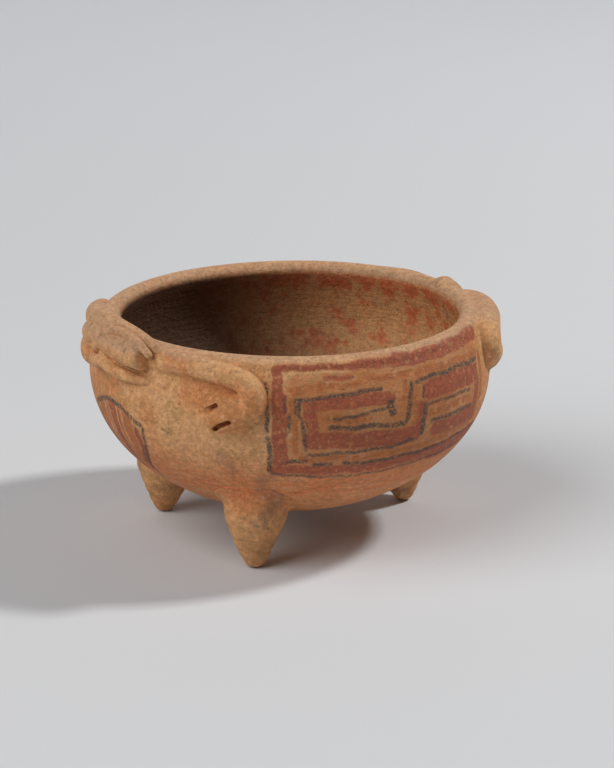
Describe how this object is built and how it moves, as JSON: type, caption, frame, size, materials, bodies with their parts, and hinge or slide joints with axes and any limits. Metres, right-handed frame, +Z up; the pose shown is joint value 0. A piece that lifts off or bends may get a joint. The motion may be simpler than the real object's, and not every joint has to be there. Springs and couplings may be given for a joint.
{
  "type": "tripod effigy bowl",
  "caption": "Round earthenware bowl on short solid conical supports, with an animal's head, bent legs and tail modelled round its rim and painted step-fret side panels.",
  "frame": {"origin": "on the plane the supports stand on, under the middle of the bowl's outline seen from above", "axes": "+Z up out of the mouth of the bowl, +X from the animal's head to its tail, +Y to the animal's right"},
  "size_m": [0.202, 0.1822, 0.1137],
  "materials": {
    "clay_body": "matte buff to orange-brown earthenware with painted fret panels in red, orange and grey-black",
    "clay_support": "matte brown earthenware, smoke-darkened and worn pale at the tip",
    "clay_figure": "matte hand-smoothed buff earthenware with darker hollows"
  },
  "bodies": {
    "root": {"bowl": "clay_body", "support_rear": "clay_support", "support_front_left": "clay_support", "support_front_right": "clay_support", "head": "clay_figure", "lower_jaw": "clay_figure", "eye_left": "clay_figure", "eye_right": "clay_figure", "foreleg_left": "clay_figure", "foreleg_right": "clay_figure", "hindleg_left": "clay_figure", "hindleg_right": "clay_figure", "tail": "clay_figure"}
  },
  "joints": []
}
